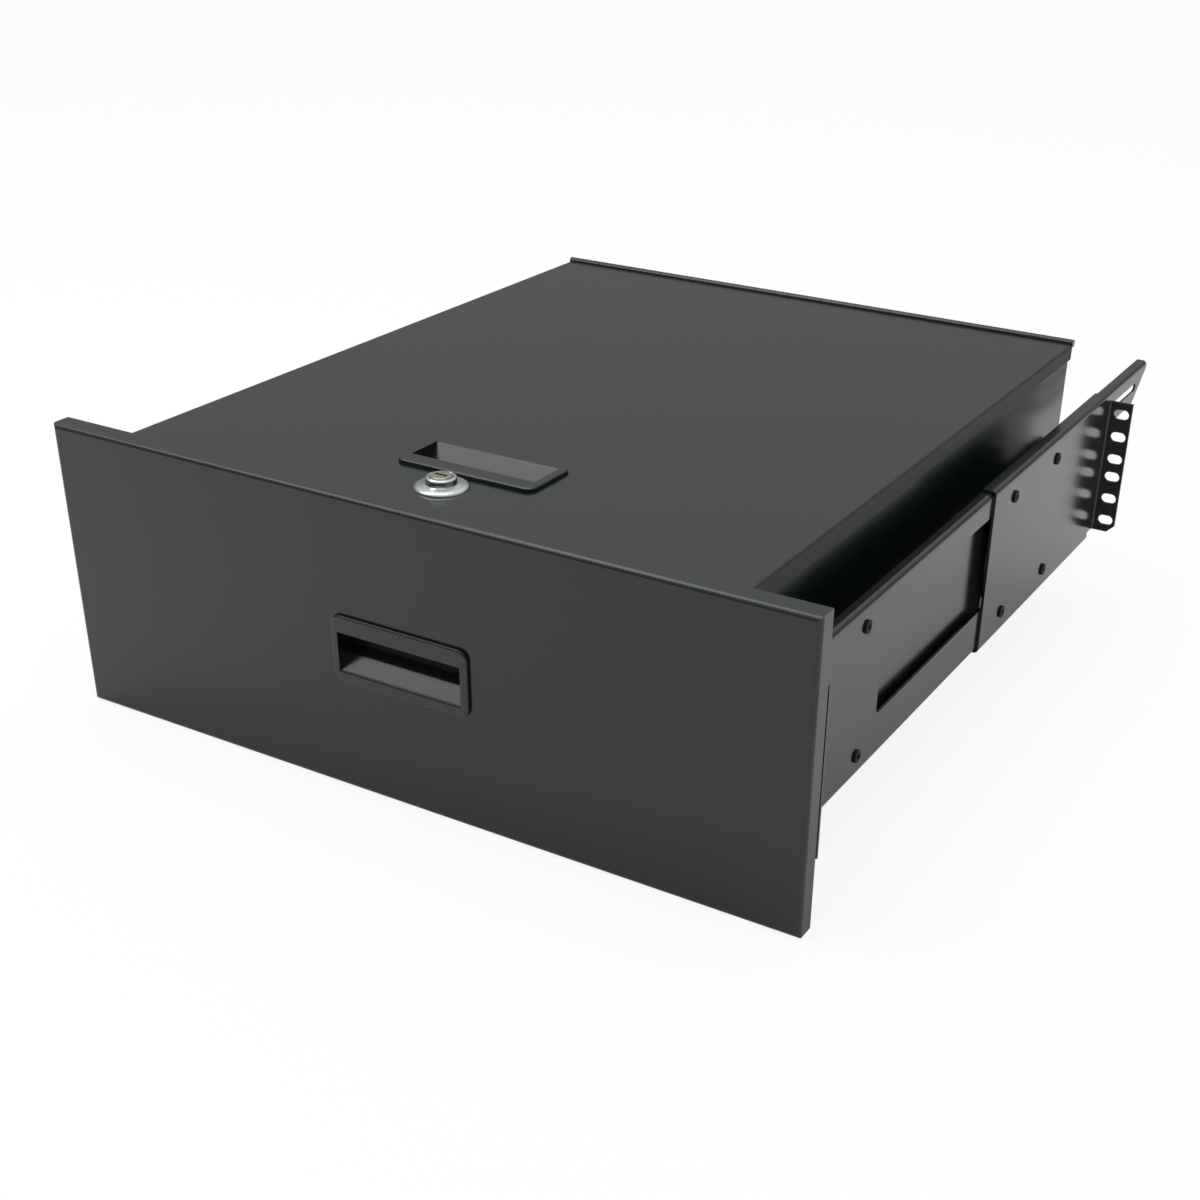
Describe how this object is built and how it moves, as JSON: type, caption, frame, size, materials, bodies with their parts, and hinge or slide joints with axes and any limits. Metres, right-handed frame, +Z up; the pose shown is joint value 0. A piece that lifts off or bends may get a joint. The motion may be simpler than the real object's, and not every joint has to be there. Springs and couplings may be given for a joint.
{
  "type": "sliding rack drawer",
  "caption": "Lockable rack-mount drawer with a flush front pull, a hinged locking lid and ball-bearing slides on depth-adjustable side rails.",
  "frame": {"origin": "middle of the front rack-hole pattern, on the plane where the front ears meet the rack", "axes": "+X across the rack to the right seen from the front, +Y to the rear of the rack, +Z up"},
  "size_m": [0.4826, 0.59, 0.1818],
  "materials": {
    "black_powder_coat": "satin fine-textured powder coat",
    "rail_powder_coat": "satin powder coat",
    "moulded_pull": "fine moulded texture",
    "lock_chrome": "bright chrome plate",
    "bumper_rubber": "matt",
    "ball_steel": "polished",
    "slide_zinc": "black zinc plate",
    "cage_steel": "rolled strip",
    "black_screw_steel": "black oxide",
    "plated_steel": "zinc plate"
  },
  "bodies": {
    "rails": {"front_rail_left": "rail_powder_coat", "front_rail_right": "rail_powder_coat", "front_carrier_left": "rail_powder_coat", "front_carrier_right": "rail_powder_coat", "rear_carrier_left": "rail_powder_coat", "rear_carrier_right": "rail_powder_coat", "carrier_screws_left": "black_screw_steel", "carrier_screws_right": "black_screw_steel", "carrier_nuts_left": "plated_steel", "carrier_nuts_right": "plated_steel", "slide_outer_member_left": "slide_zinc", "slide_outer_member_right": "slide_zinc", "slide_rivets_left": "plated_steel", "slide_rivets_right": "plated_steel", "slide_bumper_left": "bumper_rubber", "slide_bumper_right": "bumper_rubber"},
    "drawer": {"front_panel": "black_powder_coat", "front_pull": "moulded_pull", "panel_standoffs": "plated_steel", "panel_screws": "black_screw_steel", "box_tray": "black_powder_coat", "box_front_wall": "black_powder_coat", "box_rear_wall": "black_powder_coat", "lock_keeper": "black_powder_coat", "keeper_rivets": "plated_steel", "hinge_box_leaf": "black_powder_coat", "hinge_pin": "plated_steel", "hinge_box_rivets": "plated_steel", "slide_inner_member_left": "slide_zinc", "slide_inner_member_right": "slide_zinc", "slide_screws_left": "black_screw_steel", "slide_screws_right": "black_screw_steel"},
    "lid": {"lid_panel": "black_powder_coat", "lid_pull": "moulded_pull", "hinge_lid_leaf": "black_powder_coat", "hinge_lid_rivets": "plated_steel", "lock_housing": "lock_chrome", "lock_nut": "plated_steel"},
    "lock_plug": {"lock_plug": "lock_chrome", "lock_cam": "plated_steel", "lock_cam_nut": "plated_steel"},
    "rear_bracket_left": {"rear_bracket_left": "rail_powder_coat", "bracket_screws_left": "black_screw_steel", "bracket_nuts_left": "plated_steel"},
    "middle_member_left": {"slide_middle_member_left": "slide_zinc"},
    "outer_cage_left": {"slide_outer_cage_left": "cage_steel", "slide_outer_balls_left": "ball_steel"},
    "inner_cage_left": {"slide_inner_cage_left": "cage_steel", "slide_inner_balls_left": "ball_steel"},
    "rear_bracket_right": {"rear_bracket_right": "rail_powder_coat", "bracket_screws_right": "black_screw_steel", "bracket_nuts_right": "plated_steel"},
    "middle_member_right": {"slide_middle_member_right": "slide_zinc"},
    "outer_cage_right": {"slide_outer_cage_right": "cage_steel", "slide_outer_balls_right": "ball_steel"},
    "inner_cage_right": {"slide_inner_cage_right": "cage_steel", "slide_inner_balls_right": "ball_steel"}
  },
  "joints": [
    {"name": "drawer_slide", "type": "slide", "parent": "rails", "child": "drawer", "axis": [0, -1, 0], "range_m": [0, 0.45]},
    {"name": "middle_slide_left", "type": "slide", "parent": "rails", "child": "middle_member_left", "axis": [0, -1, 0], "range_m": [0, 0.225]},
    {"name": "outer_cage_slide_left", "type": "slide", "parent": "rails", "child": "outer_cage_left", "axis": [0, -1, 0], "range_m": [0, 0.1125]},
    {"name": "inner_cage_slide_left", "type": "slide", "parent": "rails", "child": "inner_cage_left", "axis": [0, -1, 0], "range_m": [0, 0.3375]},
    {"name": "middle_slide_right", "type": "slide", "parent": "rails", "child": "middle_member_right", "axis": [0, -1, 0], "range_m": [0, 0.225]},
    {"name": "outer_cage_slide_right", "type": "slide", "parent": "rails", "child": "outer_cage_right", "axis": [0, -1, 0], "range_m": [0, 0.1125]},
    {"name": "inner_cage_slide_right", "type": "slide", "parent": "rails", "child": "inner_cage_right", "axis": [0, -1, 0], "range_m": [0, 0.3375]},
    {"name": "lid_hinge", "type": "hinge", "parent": "drawer", "child": "lid", "pos_m": [0, 0.4655, 0.0861], "axis": [-1, 0, 0], "range_deg": [0, 100]},
    {"name": "lock_turn", "type": "hinge", "parent": "lid", "child": "lock_plug", "pos_m": [0, 0.0274, 0.0861], "axis": [0, 0, -1], "range_deg": [0, 90]},
    {"name": "depth_adjust_left", "type": "slide", "parent": "rails", "child": "rear_bracket_left", "axis": [0, 1, 0], "range_m": [-0.012, 0.04]},
    {"name": "depth_adjust_right", "type": "slide", "parent": "rails", "child": "rear_bracket_right", "axis": [0, 1, 0], "range_m": [-0.012, 0.04]}
  ],
  "couplings": [
    {"joint": "middle_slide_left", "follows": "drawer_slide", "ratio": 0.5},
    {"joint": "outer_cage_slide_left", "follows": "drawer_slide", "ratio": 0.25},
    {"joint": "inner_cage_slide_left", "follows": "drawer_slide", "ratio": 0.75},
    {"joint": "middle_slide_right", "follows": "drawer_slide", "ratio": 0.5},
    {"joint": "outer_cage_slide_right", "follows": "drawer_slide", "ratio": 0.25},
    {"joint": "inner_cage_slide_right", "follows": "drawer_slide", "ratio": 0.75}
  ]
}
